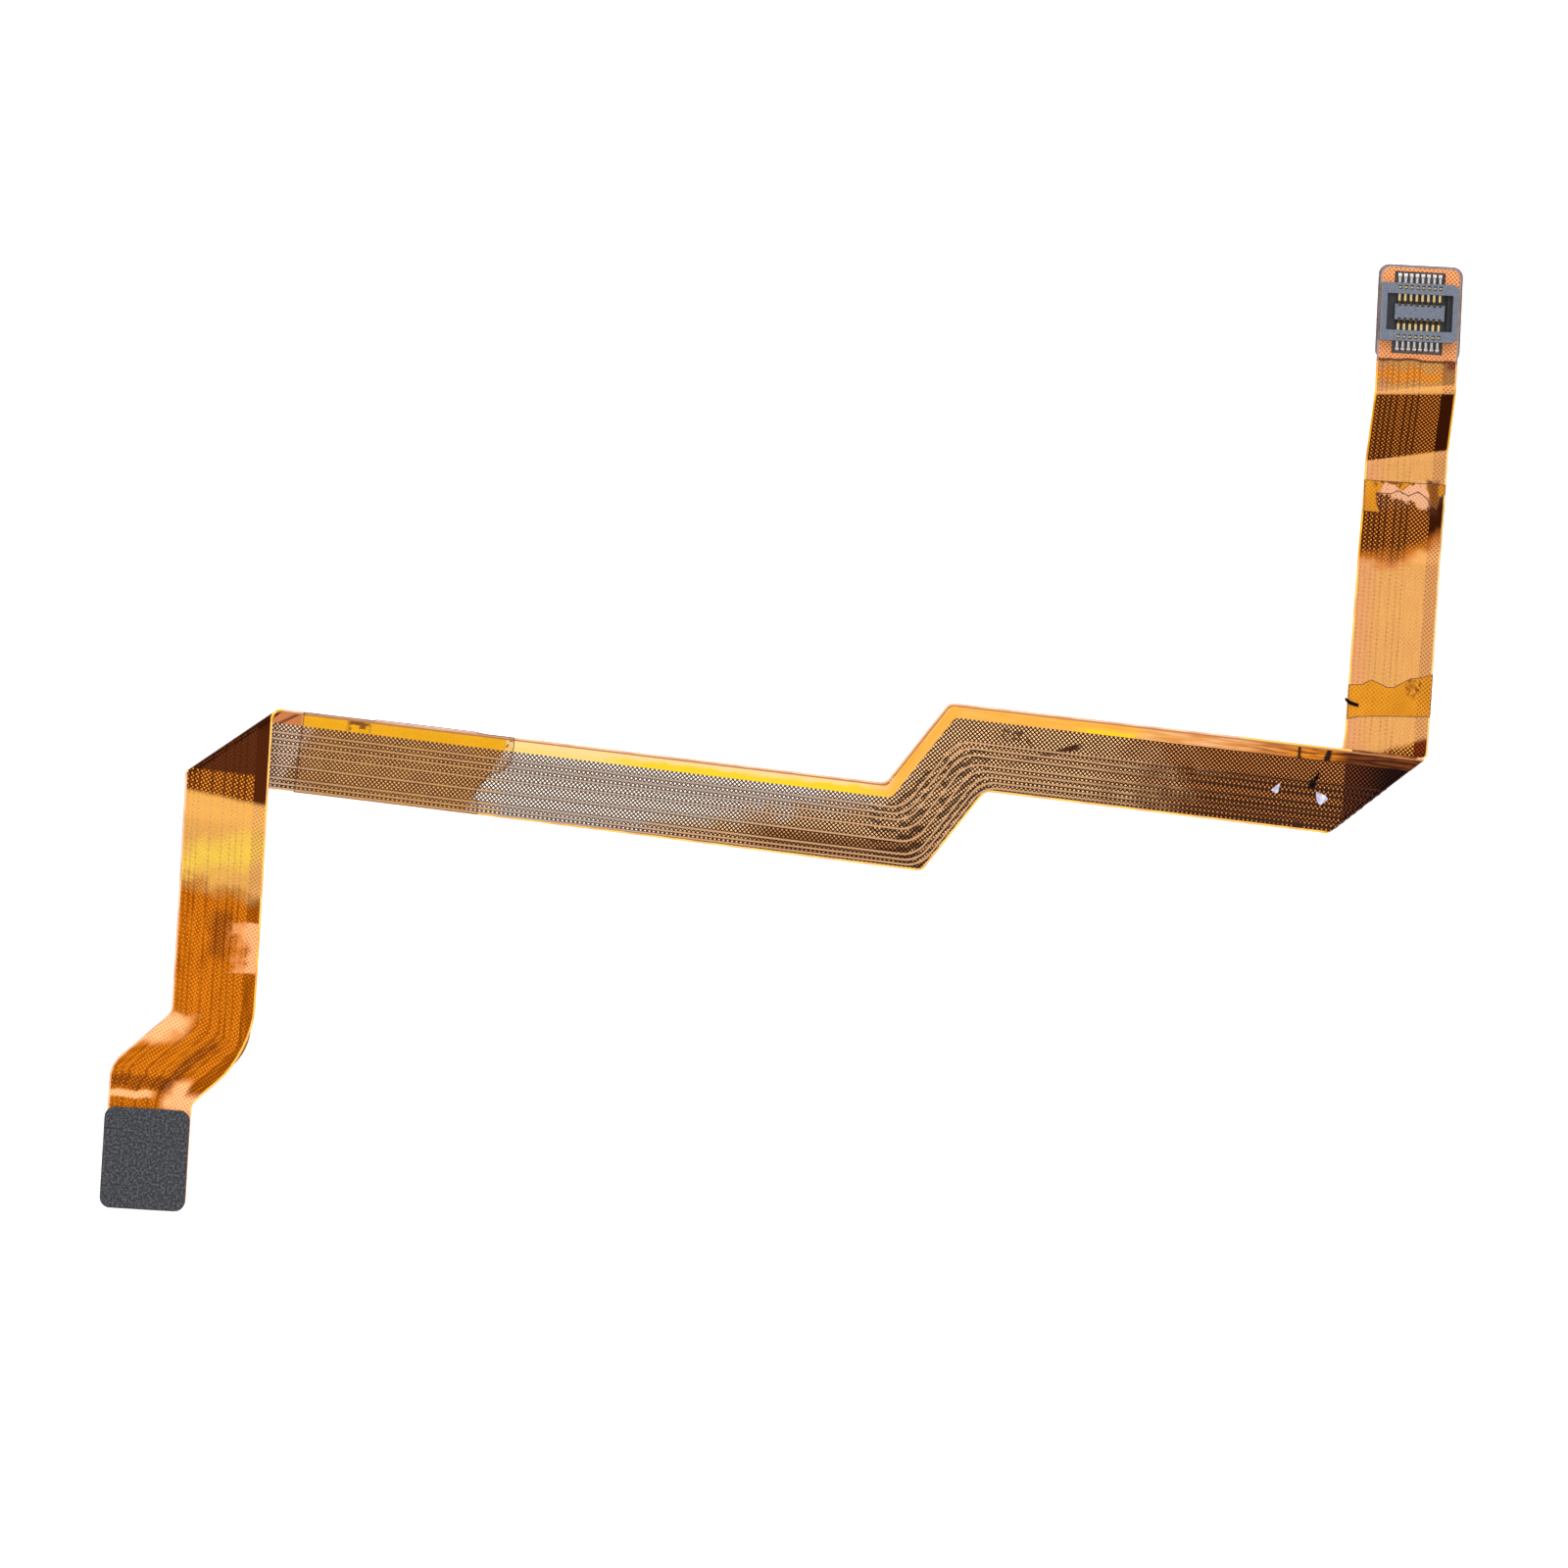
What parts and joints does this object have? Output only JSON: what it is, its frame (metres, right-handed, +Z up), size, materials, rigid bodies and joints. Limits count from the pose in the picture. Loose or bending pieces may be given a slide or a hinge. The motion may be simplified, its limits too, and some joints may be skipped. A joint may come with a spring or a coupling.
{
  "type": "flat flex cable",
  "caption": "Flat amber flex cable, folded over twice into a stepped run with two legs, and a small board-to-board socket soldered at each end.",
  "frame": {"origin": "centre of the cable's plan outline, on the surface that it lies on", "axes": "+X along the middle run towards the right fold, +Z up from the surface, +Y towards the upper socket"},
  "size_m": [0.11, 0.0948, 0.006],
  "materials": {
    "film": "glossy amber polyimide film over copper",
    "track": "copper under a clear amber cover film",
    "backing": "matte black foam-faced backing pad",
    "housing": "moulded dark liquid-crystal polymer",
    "contact": "gold-plated copper alloy",
    "solder": "bright tin solder",
    "tape": "thin amber adhesive tape, torn",
    "pale_crumb": "torn white adhesive liner",
    "dark_crumb": "dark adhesive left behind"
  },
  "bodies": {
    "root": {"dark_fleck": "dark_crumb", "flex_film": "film", "grey_fleck": "dark_crumb", "high_leg_tape": "tape", "left_backing_pad": "backing", "left_contact_01": "contact", "left_contact_02": "contact", "left_contact_03": "contact", "left_contact_04": "contact", "left_contact_05": "contact", "left_contact_06": "contact", "left_contact_07": "contact", "left_contact_08": "contact", "left_contact_09": "contact", "left_contact_10": "contact", "left_contact_11": "contact", "left_contact_12": "contact", "left_contact_13": "contact", "left_contact_14": "contact", "left_contact_15": "contact", "left_contact_16": "contact", "left_socket_housing": "housing", "left_solder_joints": "solder", "low_leg_tape": "tape", "pale_fleck": "pale_crumb", "power_track": "track", "right_backing_pad": "backing", "right_contact_01": "contact", "right_contact_02": "contact", "right_contact_03": "contact", "right_contact_04": "contact", "right_contact_05": "contact", "right_contact_06": "contact", "right_contact_07": "contact", "right_contact_08": "contact", "right_contact_09": "contact", "right_contact_10": "contact", "right_contact_11": "contact", "right_contact_12": "contact", "right_contact_13": "contact", "right_contact_14": "contact", "right_contact_15": "contact", "right_contact_16": "contact", "right_socket_housing": "housing", "right_solder_joints": "solder", "run_tape": "tape", "signal_track_1": "track", "signal_track_2": "track", "signal_track_3": "track", "signal_track_4": "track", "signal_track_5": "track", "signal_track_6": "track", "signal_track_7": "track", "signal_track_8": "track", "wide_fleck": "pale_crumb"}
  },
  "joints": []
}
